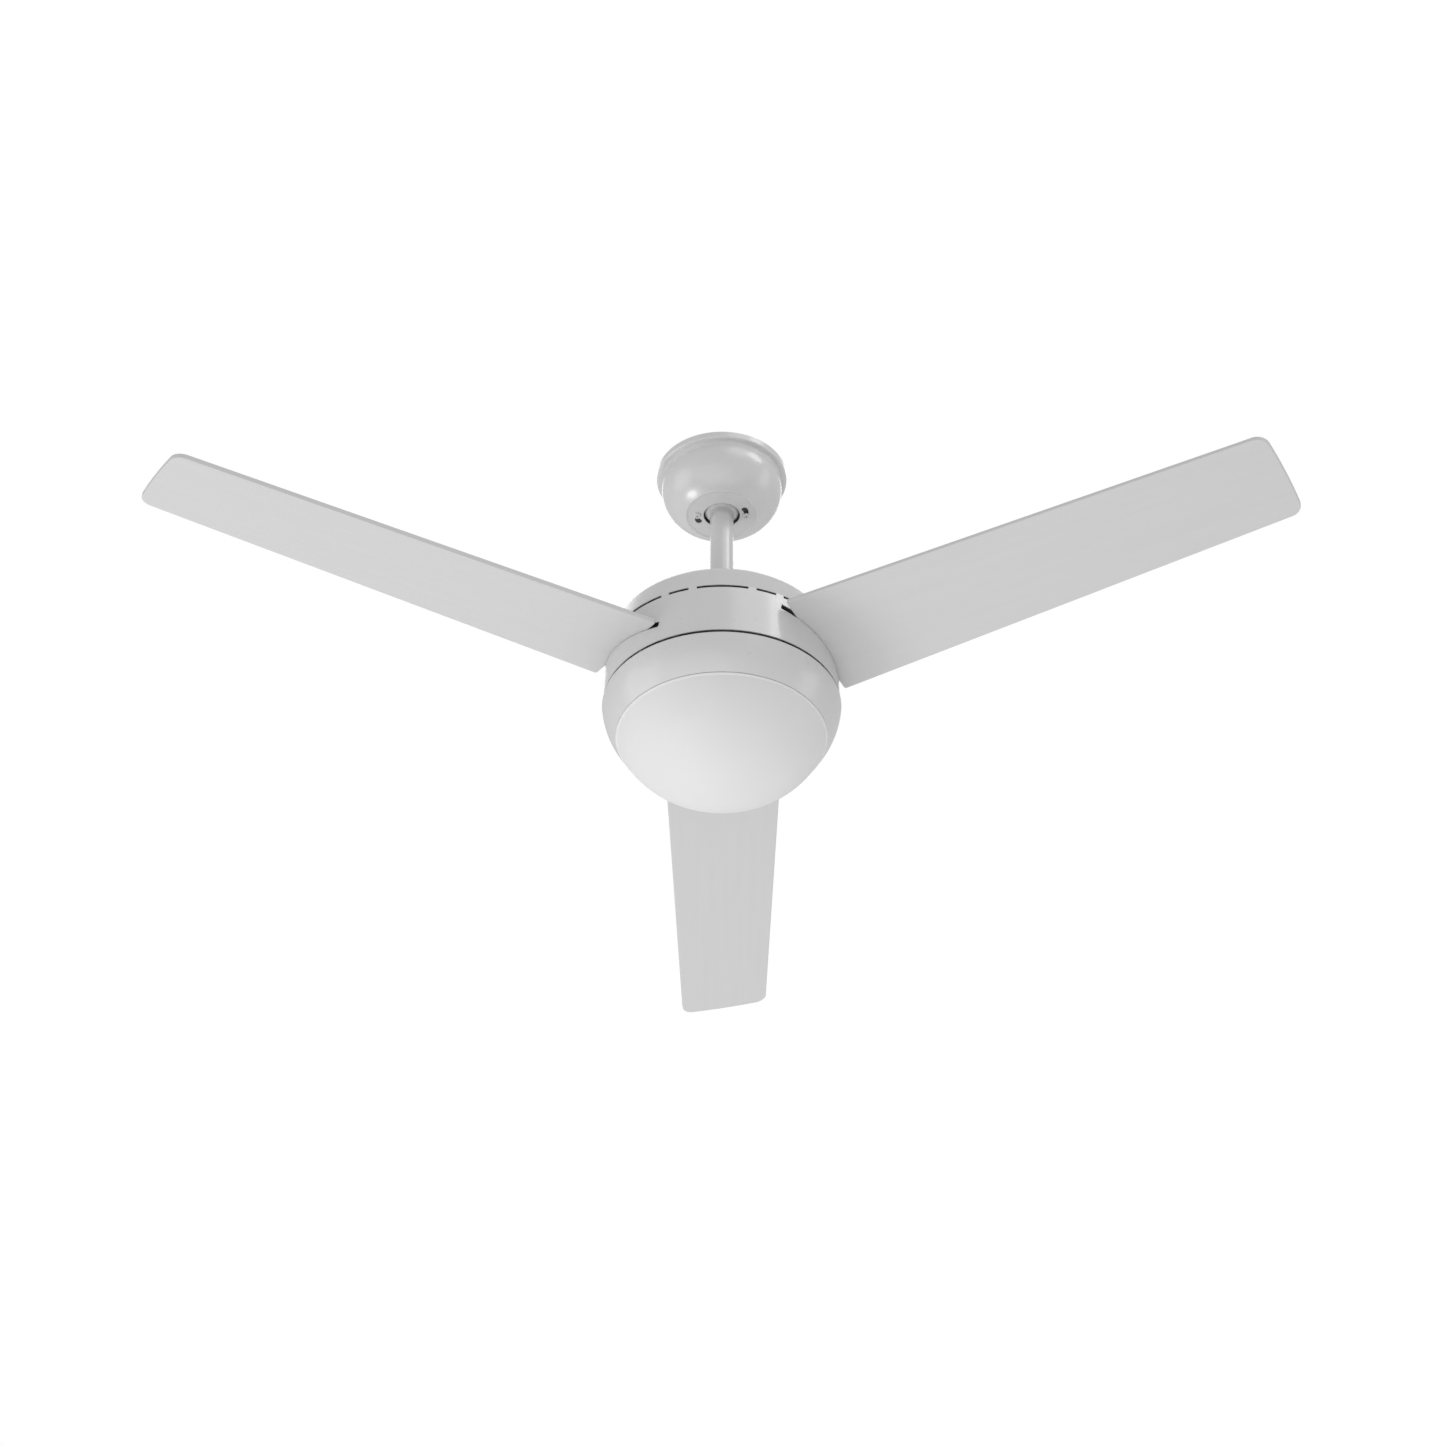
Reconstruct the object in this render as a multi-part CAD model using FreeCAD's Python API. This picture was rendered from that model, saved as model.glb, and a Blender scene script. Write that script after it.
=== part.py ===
"""Three-blade ceiling fan with a dome light, hung on a short downrod.

Units are millimetres. The origin is the centre of the hanging bracket's top face, where the
fan meets the ceiling, and +Z points up, so the whole fan lies below zero. One blade points
along +Y. Each sub-part is written to parts/NAME.step.
"""
import FreeCAD, Part
import math
import os

Vec = FreeCAD.Vector
ORIGIN = Vec(0, 0, 0)
AXIS_X = Vec(1, 0, 0)
AXIS_Y = Vec(0, 1, 0)
AXIS_Z = Vec(0, 0, 1)

# ---- driving dimensions -------------------------------------------------------------------
sweep_radius = 660.0          # axis to blade tip, a 52 inch fan
blade_count = 3
blade_pitch = 10.7            # degrees, leading edge high
blade_thickness = 5.5
blade_plane_z = -307.6        # underside of the blades at the axis
blade_azimuths = [90.0 + 360.0 / blade_count * i for i in range(blade_count)]
mid_azimuths = [azimuth + 180.0 / blade_count for azimuth in blade_azimuths]

rod_radius = 13.35            # 3/4 inch pipe
rod_wall = 2.6
rod_top_z = -30.0
rod_bottom_z = -196.0

sheet = 1.2                   # pressed steel covers
canopy_radius = 75.1
canopy_height = 60.6
canopy_hole_radius = 20.9
keyhole_circle_radius = 28.0

ball_centre_z = -36.0         # the fan swings about this point
ball_radius = 28.05
liner_inner_radius = 28.1
liner_outer_radius = 29.65
cup_inner_radius = 29.75
cup_outer_radius = 32.0
ball_fit = 0.05               # radial clearance of rod and pins

drum_top_radius = 128.3
drum_bottom_radius = 129.6
drum_top_z = -279.6
drum_bottom_z = -339.6
drum_wall = 1.2
cap_rim_z = -276.3
cap_top_z = -242.9
cap_shoulder_radius = 113.0
cap_corner_radius = 8.0
cap_hole_radius = 32.0

bowl_top_z = -343.1
bowl_rim_z = -385.5
bowl_ellipse_radius = 130.9
bowl_ellipse_z = -335.8
bowl_ellipse_height = 104.5
glass_rim_z = -385.8           # the glass's shoulder stands this close under the bowl's rim
glass_ellipse_radius = 120.5
glass_ellipse_z = -352.95
glass_ellipse_height = 98.8
glass_wall = 3.0
glass_bead_radius = 114.75    # small rolled edge round the glass's shoulder
glass_bead_height = 2.4

shaft_radius = 8.5            # bore size of a 6203 bearing
shaft_bore_radius = 5.0
shaft_top_z = -199.0
shaft_shoulder_z = -340.4
shaft_bottom_z = -352.0
motor_radius = 88.0
motor_top_z = -258.0
motor_split_z = -292.0
motor_bottom_z = -326.0
motor_wall = 4.0
bearing_outer_radius = 20.0
bearing_width = 12.0
stator_stack = 22.0
stator_hub_radius = 24.0
rotor_ring_inner_radius = 70.6
lamp_axis_z = -388.0
lamp_offset = 36.0            # each lamp's axis stands this far from the fan's axis


# ---- shape helpers ------------------------------------------------------------------------
def tube(inner, outer, low, high):
    """Ring about the fan's axis between two heights; a solid disc where inner is 0."""
    body = Part.makeCylinder(outer, high - low, Vec(0, 0, low))
    if inner > 0:
        body = body.cut(Part.makeCylinder(inner, high - low, Vec(0, 0, low)))
    return body


def block(x, y, z):
    """Box from three (low, high) pairs."""
    return Part.makeBox(x[1] - x[0], y[1] - y[0], z[1] - z[0], Vec(x[0], y[0], z[0]))


def rod_between(radius, start, end):
    """Round bar from one point to another."""
    return Part.makeCylinder(radius, (end - start).Length, start, end - start)


def turned(shape, angle):
    """Copy turned about the fan's axis by an angle in degrees."""
    copy = shape.copy()
    copy.rotate(ORIGIN, AXIS_Z, angle)
    return copy


def moved(shape, x, y, z):
    """Copy moved by an offset."""
    copy = shape.copy()
    copy.translate(Vec(x, y, z))
    return copy


def fused(shapes):
    """One solid from several overlapping ones."""
    body = shapes[0].multiFuse(shapes[1:])
    return body.removeSplitter()


def around(shape, angles):
    """List of copies of a shape turned to each angle."""
    return [turned(shape, angle) for angle in angles]


def sector(inner, outer, low, high, middle, half_angle):
    """Part of a ring, centred on an azimuth."""
    ring = Part.makeCylinder(outer, high - low, Vec(0, 0, low), AXIS_Z, 2 * half_angle)
    ring = ring.cut(Part.makeCylinder(inner, high - low, Vec(0, 0, low)))
    return turned(ring, middle - half_angle)


def revolved(start, steps):
    """Solid turned about the fan's axis from a closed outline of (radius, height) points.

    A step is an end point, or a list of points for one smooth curve that ends in the last.
    """
    here = Vec(start[0], 0, start[1])
    first = here
    edges = []
    for step in steps:
        if isinstance(step, list):
            points = [here] + [Vec(r, 0, z) for r, z in step]
            curve = Part.BSplineCurve()
            curve.interpolate(points)
            edges.append(curve.toShape())
            here = points[-1]
        else:
            there = Vec(step[0], 0, step[1])
            edges.append(Part.LineSegment(here, there).toShape())
            here = there
    if (here - first).Length > 1e-6:
        edges.append(Part.LineSegment(here, first).toShape())
    face = Part.Face(Part.Wire(Part.__sortEdges__(edges)))
    return face.revolve(ORIGIN, AXIS_Z, 360)


def circle_curve(centre, radius, start_angle, end_angle, count=6):
    """Points on a circular arc after its first, as (radius, height) pairs."""
    points = []
    for i in range(1, count + 1):
        angle = math.radians(start_angle + (end_angle - start_angle) * i / count)
        points.append((centre[0] + radius * math.cos(angle), centre[1] + radius * math.sin(angle)))
    return points


def ellipse_radius(radius, centre_z, height, z):
    """Half width at height z of an ellipse that stands on the fan's axis."""
    return radius * math.sqrt(max(0.0, 1 - ((centre_z - z) / height) ** 2))


def ellipse_curve(radius, centre_z, height, z_start, z_end, count=7):
    """Points down an ellipse after its first, evenly spaced in angle."""
    first = math.asin((centre_z - z_start) / height)
    last = math.asin(min(1.0, (centre_z - z_end) / height))
    points = []
    for i in range(1, count + 1):
        angle = first + (last - first) * i / count
        points.append((radius * math.cos(angle), centre_z - height * math.sin(angle)))
    return points


def cross_recess(depth, reach):
    """Cross-shaped driver recess that opens downwards at z = 0."""
    width = reach * 0.42
    arms = block((-reach, reach), (-width / 2, width / 2), (0, depth))
    return arms.fuse(block((-width / 2, width / 2), (-reach, reach), (0, depth)))


def pan_screw(shank_radius, shank_length, head_radius, head_height):
    """Pan-head screw: head under z = 0 with a cross recess, shank pointing up."""
    head = Part.makeCylinder(head_radius, head_height, Vec(0, 0, -head_height))
    outer_edges = [edge for edge in head.Edges if edge.BoundBox.ZMax < -head_height + 1e-6]
    head = head.makeFillet(head_height * 0.45, outer_edges)
    recess = moved(cross_recess(head_height * 0.6, head_radius * 0.62), 0, 0, -head_height)
    head = head.cut(recess)
    return head.fuse(Part.makeCylinder(shank_radius, shank_length)).removeSplitter()


def set_screw(radius, length):
    """Headless screw with a hexagon socket at its lower end, pointing up."""
    body = Part.makeCylinder(radius, length)
    hexagon = [Vec(radius * 0.55 * math.cos(math.radians(60 * i)),
                   radius * 0.55 * math.sin(math.radians(60 * i)), 0) for i in range(7)]
    socket = Part.Face(Part.makePolygon(hexagon)).extrude(Vec(0, 0, length * 0.5))
    return body.cut(socket)


def flipped(shape):
    """Copy turned upside down about the X axis."""
    copy = shape.copy()
    copy.rotate(ORIGIN, AXIS_X, 180)
    return copy


def pointing(shape, direction):
    """Copy whose +Z is turned to a direction."""
    copy = shape.copy()
    copy.Placement = FreeCAD.Placement(ORIGIN, FreeCAD.Rotation(AXIS_Z, direction))
    return copy


def on_blade(shape, azimuth):
    """Place a shape drawn in a blade's frame: X outward, Y along the chord, Z out of its top."""
    copy = shape.copy()
    copy.rotate(ORIGIN, AXIS_X, -blade_pitch)
    copy.rotate(ORIGIN, AXIS_Z, azimuth)
    copy.translate(Vec(0, 0, blade_plane_z))
    return copy


def round_upright_edges(shape, radius, wanted):
    """Fillet the straight vertical edges whose (x, y) the wanted function accepts."""
    edges = []
    for edge in shape.Edges:
        box = edge.BoundBox
        upright = box.XLength < 1e-6 and box.YLength < 1e-6
        if upright and wanted(box.XMin, box.YMin):
            edges.append(edge)
    return shape.makeFillet(radius, edges)


def save(name, shape):
    """Write one sub-part, checked to be whole solids."""
    shape = shape if shape.ShapeType != "Compound" or len(shape.Solids) > 1 else shape.Solids[0]
    if not shape.isValid() or not shape.Solids:
        raise ValueError(name + " is not a valid solid")
    shape.exportStep("parts/" + name + ".step")
    print(name, len(shape.Solids), "solid(s)", round(shape.Volume / 1000.0, 2), "cm3")


def group(solids):
    """Separate solids of one node."""
    return Part.makeCompound(solids)


# ---- ceiling group ------------------------------------------------------------------------
bracket_sheet = 2.5
bracket_half_length = 52.0
bracket_half_width = 22.0
tongue_end_y = 56.0           # the tongue behind the plate carries the receiver
ceiling_slot_spacing = 79.4   # takes ceiling-box screws from 70 to 89 mm apart
ceiling_slot_length = 15.0
ceiling_slot_radius = 2.75
wire_hole_radius = 10.0       # supply wires come down through it
cheek_inner_x = 31.5
cheek_half_width = 16.0
cheek_window_radius = 8.0
cheek_window_z = -22.0
bracket_floor_radius = 37.0
bracket_floor_half_width = 24.0
bracket_floor_hole_radius = 21.2
cup_top_z = ball_centre_z - 4
canopy_floor_z = -canopy_height + sheet
canopy_screw_radius = 2.4
canopy_screw_length = 5.0
canopy_screw_head = (4.2, 2.2)  # radius and height
insert_half_width = 14.2      # the rod slides in sideways through this opening


def ceiling_slot(x):
    """Slot along X for one ceiling screw."""
    half_run = ceiling_slot_length / 2 - ceiling_slot_radius
    slot = block((x - half_run, x + half_run), (-ceiling_slot_radius, ceiling_slot_radius),
                 (-bracket_sheet, 0))
    for end in (-half_run, half_run):
        slot = slot.fuse(Part.makeCylinder(ceiling_slot_radius, bracket_sheet,
                                           Vec(x + end, 0, -bracket_sheet)))
    return slot


def ball_zone(inner, outer, low, high):
    """Part of a hollow sphere about the ball's centre between two heights."""
    centre = Vec(0, 0, ball_centre_z)
    shell = Part.makeSphere(outer, centre).cut(Part.makeSphere(inner, centre))
    return shell.common(tube(0, 2 * outer, low, high))


def hanging_bracket():
    """Steel bracket: ceiling plate, two cheeks, floor and a cup that the ball hangs in."""
    plate = block((-bracket_half_length, bracket_half_length),
                  (-bracket_half_width, bracket_half_width), (-bracket_sheet, 0))
    plate = round_upright_edges(plate, 10.0, lambda x, y: True)
    tongue = block((-bracket_half_width, bracket_half_width), (0, tongue_end_y),
                   (-bracket_sheet, 0))
    tongue = round_upright_edges(tongue, 6.0, lambda x, y: y > tongue_end_y - 1)
    cheek = block((cheek_inner_x, cheek_inner_x + bracket_sheet),
                  (-cheek_half_width, cheek_half_width), (canopy_floor_z, 0))
    window = Part.makeCylinder(cheek_window_radius, 3 * bracket_sheet,
                               Vec(cheek_inner_x - bracket_sheet, 0, cheek_window_z), AXIS_X)
    cheek = cheek.cut(window)
    floor_top = canopy_floor_z + bracket_sheet
    floor = tube(0, bracket_floor_radius, canopy_floor_z, floor_top)
    floor = floor.common(block((-bracket_floor_radius, bracket_floor_radius),
                               (-bracket_floor_half_width, bracket_floor_half_width),
                               (canopy_floor_z, floor_top)))
    cup = ball_zone(cup_inner_radius, cup_outer_radius, canopy_floor_z + 1.0, cup_top_z)
    body = fused([plate, tongue, cheek, turned(cheek, 180), floor, cup])
    body = body.cut(Part.makeSphere(cup_inner_radius, Vec(0, 0, ball_centre_z)))
    body = body.cut(tube(0, bracket_floor_hole_radius, canopy_floor_z, floor_top + bracket_sheet))
    body = body.cut(block((-insert_half_width, insert_half_width), (0, bracket_floor_radius),
                          (canopy_floor_z, ball_centre_z)))
    body = body.cut(tube(0, wire_hole_radius, -bracket_sheet, 0))
    for side in (-1, 1):
        body = body.cut(ceiling_slot(side * ceiling_slot_spacing / 2))
        body = body.cut(Part.makeCylinder(canopy_screw_radius, 2 * bracket_sheet,
                                          Vec(side * keyhole_circle_radius, 0, canopy_floor_z)))
    return body


def canopy():
    """Spun ceiling cover with a rolled rim, a domed side, a sunk floor and two keyhole slots."""
    rim_height = 8.0
    rim_round = 1.4
    step_radius = 70.2
    shoulder_z = -14.0
    bend = (25.9, -20.6)
    bend_radius = 43.4
    lip_radius = 43.0             # the dome ends here in a rolled lip round the floor
    floor_radius = 38.9
    bend_start = math.degrees(math.asin((shoulder_z - bend[1]) / bend_radius))
    bend_end = -math.degrees(math.acos((lip_radius - bend[0]) / bend_radius))
    outer_bend = circle_curve(bend, bend_radius, bend_start, bend_end, 8)
    inner_bend = circle_curve(bend, bend_radius - sheet, bend_end, bend_start, 8)
    shoulder_radius = bend[0] + bend_radius * math.cos(math.radians(bend_start))
    lip_z = outer_bend[-1][1]
    inner_lip = circle_curve(bend, bend_radius - sheet, bend_start, bend_end, 8)[-1]
    rim_arc = circle_curve((canopy_radius - rim_round, rim_round - rim_height), rim_round, 0, -90, 3)
    outer = [(canopy_radius, rim_round - rim_height), rim_arc,
             (step_radius, -rim_height), (shoulder_radius, shoulder_z), outer_bend,
             [(lip_radius - 1.2, lip_z - 0.85), (lip_radius - 2.2, lip_z - 1.0),
              (lip_radius - 3.1, lip_z - 0.62), (floor_radius, -canopy_height)],
             (canopy_hole_radius, -canopy_height)]
    inner = [(canopy_hole_radius, canopy_floor_z), (floor_radius - 0.6, canopy_floor_z), inner_lip,
             inner_bend, (step_radius - sheet, sheet - rim_height),
             (canopy_radius - sheet, sheet - rim_height), (canopy_radius - sheet, 0)]
    body = revolved((canopy_radius, 0), outer + inner)
    return body.cut(group(around(keyhole(), (0, 180))))


def keyhole():
    """Cutter for one keyhole of the canopy: a hole for a screw's head, then a slot for its shank."""
    head_hole_radius = 3.6
    slot_half_width = 2.6
    turn = -21.0
    low = -canopy_height - sheet
    depth = 3 * sheet
    shapes = [block((keyhole_circle_radius - slot_half_width, keyhole_circle_radius + slot_half_width),
                    (-10.0, 0), (low, low + depth))]
    for share, radius in ((1, head_hole_radius), (2 / 3, slot_half_width),
                          (1 / 3, slot_half_width), (0, slot_half_width)):
        hole = Part.makeCylinder(radius, depth, Vec(keyhole_circle_radius, 0, low))
        shapes.append(turned(hole, turn * share))
    return fused(shapes)


def canopy_screws():
    """Two screws that hold the canopy to the bracket's floor."""
    screw = moved(pan_screw(canopy_screw_radius, canopy_screw_length, *canopy_screw_head),
                  keyhole_circle_radius, 0, -canopy_height)
    return group(around(screw, (0, 180)))


def remote_receiver():
    """Radio receiver box clipped under the bracket's tongue."""
    body = block((-26, 26), (33, 54), (-38, -bracket_sheet))
    body = body.makeFillet(2.0, body.Edges)
    lid_line = block((-30, 30), (30, 60), (-12.4, -11.8))
    core = block((-25.4, 25.4), (33.6, 53.4), (-38, 0))
    return body.cut(lid_line.cut(core))


def terminal_block():
    """Three-way supply terminal on the receiver's face."""
    body = block((-13, 13), (23.5, 33), (-16, -4))
    for x in (-8, 0, 8):
        body = body.cut(Part.makeCylinder(2.2, 6, Vec(x, 28, -16)))
        body = body.cut(Part.makeCylinder(1.6, 6, Vec(x, 23.5, -8), AXIS_Y))
    return body


# ---- ball and downrod ---------------------------------------------------------------------
cross_pin_z = -44.0
cross_pin_radius = 3.0
clevis_pin_z = -181.0
clevis_pin_radius = 3.15
yoke_screw_z = -171.5
yoke_screw_radius = 2.95


def ball_seat_liner():
    """Nylon liner between the ball and the bracket's cup, open on the side the rod enters."""
    liner = ball_zone(liner_inner_radius, liner_outer_radius, ball_centre_z - 20.3,
                      ball_centre_z - 5)
    return liner.cut(block((-insert_half_width, insert_half_width), (0, 40), (-60, -30)))


def hanger_ball():
    """Hanger ball with a bore for the rod, a cross hole and a set-screw hole."""
    ball = Part.makeSphere(ball_radius, Vec(0, 0, ball_centre_z))
    ball = ball.common(block((-40, 40), (-40, 40), (-59.2, ball_centre_z + 3)))
    ball = ball.cut(tube(0, rod_radius + ball_fit, -70, 0))
    ball = ball.cut(rod_between(cross_pin_radius + ball_fit, Vec(-40, 0, cross_pin_z),
                                Vec(40, 0, cross_pin_z)))
    return ball.cut(rod_between(yoke_screw_radius, Vec(0, -40, -46), Vec(0, 0, -46)))


def ball_cross_pin():
    """Pin through ball and rod."""
    pin = rod_between(cross_pin_radius, Vec(-23.5, 0, cross_pin_z), Vec(23.5, 0, cross_pin_z))
    return pin.makeChamfer(0.6, [e for e in pin.Edges if e.BoundBox.XLength < 1e-6])


def downrod():
    """Pipe between the ball and the yoke."""
    rod = tube(rod_radius - rod_wall, rod_radius, rod_bottom_z, rod_top_z)
    for z, radius in ((cross_pin_z, cross_pin_radius), (clevis_pin_z, clevis_pin_radius)):
        rod = rod.cut(rod_between(radius + ball_fit, Vec(-20, 0, z), Vec(20, 0, z)))
    return rod


def yoke():
    """Coupling that joins the rod to the motor shaft."""
    bore = rod_radius + ball_fit
    body = revolved((bore, -166), [(18.0, -166), (19.0, -167), (19.0, -210), (26.0, -213),
                                   (26.0, -222), (shaft_radius, -222), (shaft_radius, -197),
                                   (bore, -197)])
    body = body.cut(rod_between(clevis_pin_radius + ball_fit, Vec(-30, 0, clevis_pin_z),
                                Vec(30, 0, clevis_pin_z)))
    return body.cut(rod_between(yoke_screw_radius, Vec(0, -30, yoke_screw_z),
                                Vec(0, 30, yoke_screw_z)))


def clevis_pin():
    """Headed pin through yoke and rod, drilled for the cotter."""
    pin = rod_between(clevis_pin_radius, Vec(-21, 0, clevis_pin_z), Vec(24.5, 0, clevis_pin_z))
    head = rod_between(5.0, Vec(-21.2, 0, clevis_pin_z), Vec(-19.1, 0, clevis_pin_z))
    pin = pin.fuse(head).removeSplitter()
    return pin.cut(rod_between(0.85, Vec(21.5, -6, clevis_pin_z), Vec(21.5, 6, clevis_pin_z)))


def wire_sweep(radius, start, direction, path_edges):
    """Round wire along a path of straight runs and arcs."""
    profile = Part.Wire([Part.makeCircle(radius, start, direction)])
    return Part.Wire(path_edges).makePipeShell([profile], True, False)


def cotter_pin():
    """Hairpin of spring wire through the clevis pin."""
    x = 21.5
    loop = 2.8
    low = Vec(x, -7.0, clevis_pin_z)
    turn_in = Vec(x, 8.0, clevis_pin_z)
    turn_mid = Vec(x, 8.0 + loop, clevis_pin_z + loop)
    turn_out = Vec(x, 8.0, clevis_pin_z + 2 * loop)
    end = Vec(x, -4.0, clevis_pin_z + 2 * loop)
    path = [Part.makeLine(low, turn_in), Part.Arc(turn_in, turn_mid, turn_out).toShape(),
            Part.makeLine(turn_out, end)]
    return wire_sweep(0.8, low, AXIS_Y, path)


def set_screws():
    """Set screws of the ball and of the yoke."""
    ball_screw = moved(pointing(set_screw(yoke_screw_radius, 8.0), AXIS_Y), 0, -rod_radius - 8, -46)
    yoke_screw = moved(pointing(set_screw(yoke_screw_radius, 8.5), AXIS_Y), 0,
                       -rod_radius - 8.5, yoke_screw_z)
    return group([ball_screw, yoke_screw, turned(yoke_screw, 180)])


def yoke_cover():
    """Bell that hides the yoke, with a short collar round the rod."""
    wall = 0.9
    collar = 14.6
    shape = [(collar, -155.5), [(22.0, -162.5), (33.0, -175.0), (42.0, -195.0), (46.0, -215.0)],
             (48.5, -239.5), (48.5 - wall, -239.5),
             (46.0 - wall, -215.2),
             [(42.0 - wall, -195.4), (33.0 - wall * 0.8, -175.8), (21.6, -163.5),
              (collar - wall, -156.4)]]
    return revolved((collar, -151.5), shape + [(collar - wall, -151.5)])


def cover_grommet():
    """Rubber ring on the rod that carries the yoke cover."""
    return revolved((rod_radius + ball_fit, -165.4),
                    [(17.2, -165.4), (19.4, -164.2), (19.0, -162.6), (15.2, -159.0),
                     (rod_radius + ball_fit, -159.0)])


# ---- motor ---------------------------------------------------------------------------------
pole_count = 12
pole_angles = [360.0 / pole_count * i for i in range(pole_count)]
pole_half_width = 4.5
pole_shoe_radius = 66.5
pole_shoe_half_angle = 12.0
pole_tip_radius = 70.0
coil_half_width = 8.8
coil_height = 15.0
rotor_bar_count = 28
rotor_bar_circle = 75.0
rotor_bar_radius = 1.7
end_ring_radii = (71.5, 79.0)
end_ring_height = 3.0
ball_count = 8
race_circle = 14.25
race_ball_radius = 3.35
upper_bearing_z = motor_top_z - motor_wall - bearing_width / 2
lower_bearing_z = motor_bottom_z + motor_wall + bearing_width / 2
shell_screw_circle = 92.2
shell_screw_angles = [60.0 * i for i in range(6)]
post_circle = 60.0
shell_hole_radius = 12.5
shell_boss_radius = 25.0
shell_ear_radius = 6.0
shell_ear_height = 6.0
vent_inner_radius = 34.0
vent_outer_radius = 58.0
vent_half_width = 5.0
post_radius = 6.5
m4_radius = 1.95
m4_head = (3.9, 2.4)          # radius and height
m5_radius = 2.45
m5_head = (4.6, 2.8)
tapped_depth = 8.0
bracket_screw_u = 72.0
bracket_screw_v = 15.0
ear_screw_circle = 80.0


def motor_shaft():
    """Hollow fixed shaft that the motor, the bearings and the light kit are built on."""
    body = tube(shaft_bore_radius, shaft_radius, shaft_shoulder_z, shaft_top_z)
    tail = tube(shaft_bore_radius, shaft_tail_radius, shaft_bottom_z, shaft_shoulder_z)
    return fused([body, tail])


def stator_hub():
    """Cast hub between the shaft and the laminated core."""
    half = stator_stack / 2 + 2
    body = tube(shaft_radius, stator_hub_radius, motor_split_z - half, motor_split_z + half)
    hole_circle = (shaft_radius + stator_hub_radius) / 2
    hole = Part.makeCylinder(3.0, 2 * half, Vec(hole_circle, 0, motor_split_z - half))
    return body.cut(group(around(hole, range(0, 360, 60))))


def stator_core():
    """Laminated core with twelve poles."""
    low = motor_split_z - stator_stack / 2
    high = motor_split_z + stator_stack / 2
    yoke_radius = stator_hub_radius + 14.0
    shapes = [tube(stator_hub_radius, yoke_radius, low, high)]
    tooth = block((yoke_radius - 1, pole_shoe_radius + 0.5),
                  (-pole_half_width, pole_half_width), (low, high))
    shoe = sector(pole_shoe_radius, pole_tip_radius, low, high, 0, pole_shoe_half_angle)
    return fused(shapes + around(tooth, pole_angles) + around(shoe, pole_angles))


def stator_windings():
    """One coil round each pole."""
    coil_x = (41.5, pole_shoe_radius - 2.0)
    coil = block(coil_x, (-coil_half_width, coil_half_width),
                 (motor_split_z - coil_height, motor_split_z + coil_height))
    coil = coil.makeFillet(3.0, [e for e in coil.Edges if e.BoundBox.XLength > 20])
    half = stator_stack / 2
    coil = coil.cut(block(coil_x, (-pole_half_width, pole_half_width),
                          (motor_split_z - half, motor_split_z + half)))
    return group(around(coil, pole_angles))


def rotor_bar_angles():
    """Azimuths of the bars of the squirrel cage."""
    return [360.0 / rotor_bar_count * i for i in range(rotor_bar_count)]


def rotor_bar(low, high):
    """One bar of the squirrel cage."""
    return Part.makeCylinder(rotor_bar_radius, high - low, Vec(rotor_bar_circle, 0, low))


def rotor_ring():
    """Laminated rotor ring outside the stator, drilled for the cage."""
    low = motor_split_z - stator_stack / 2
    high = motor_split_z + stator_stack / 2
    ring = tube(rotor_ring_inner_radius, motor_radius - motor_wall, low, high)
    return ring.cut(group(around(rotor_bar(low, high), rotor_bar_angles())))


def rotor_cage():
    """Cast squirrel cage: two end rings joined by bars."""
    low = motor_split_z - stator_stack / 2
    high = motor_split_z + stator_stack / 2
    shapes = [tube(*end_ring_radii, low - end_ring_height, low),
              tube(*end_ring_radii, high, high + end_ring_height)]
    return fused(shapes + around(rotor_bar(low - 1, high + 1), rotor_bar_angles()))


def race_groove(z):
    """Torus that the bearing balls run in."""
    return Part.makeTorus(race_circle, race_ball_radius + 0.05, Vec(0, 0, z))


def bearing_inner(z):
    """Inner race on the shaft."""
    half = bearing_width / 2
    return tube(shaft_radius, 12.0, z - half, z + half).cut(race_groove(z))


def bearing_outer(z):
    """Outer race in the rotor shell."""
    half = bearing_width / 2
    return tube(16.5, bearing_outer_radius, z - half, z + half).cut(race_groove(z))


def bearing_balls():
    """Balls of both bearings."""
    balls = []
    for z in (upper_bearing_z, lower_bearing_z):
        ball = Part.makeSphere(race_ball_radius, Vec(race_circle, 0, z))
        balls += around(ball, [360.0 / ball_count * i for i in range(ball_count)])
    return group(balls)


def rotor_shell():
    """Upper half of the rotor casing, drawn with its joint face down at the split height."""
    low = motor_split_z
    wall = motor_wall
    body = revolved((motor_radius, low),
                    [(motor_radius, motor_top_z - 4), (motor_radius - 4, motor_top_z),
                     (shell_hole_radius, motor_top_z), (shell_hole_radius, motor_top_z - wall),
                     (bearing_outer_radius, motor_top_z - wall),
                     (bearing_outer_radius, motor_top_z - wall - bearing_width - 1),
                     (shell_boss_radius, motor_top_z - wall - bearing_width - 1),
                     (shell_boss_radius, motor_top_z - wall),
                     (motor_radius - wall - 2, motor_top_z - wall),
                     (motor_radius - wall, motor_top_z - wall - 2), (motor_radius - wall, low)])
    ear = Part.makeCylinder(shell_ear_radius, shell_ear_height, Vec(shell_screw_circle, 0, low))
    ear = ear.fuse(block((motor_radius - 3, shell_screw_circle),
                         (-shell_ear_radius, shell_ear_radius), (low, low + shell_ear_height)))
    body = fused([body] + around(ear, shell_screw_angles))
    vent = block((vent_inner_radius, vent_outer_radius), (-vent_half_width, vent_half_width),
                 (motor_top_z - 2 * wall, motor_top_z))
    vent = round_upright_edges(vent, vent_half_width - 0.1, lambda x, y: True)
    hole = Part.makeCylinder(m4_radius, shell_ear_height, Vec(shell_screw_circle, 0, low))
    for angle in shell_screw_angles:
        body = body.cut(turned(vent, angle))
        body = body.cut(turned(hole, angle))
    return body


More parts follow.
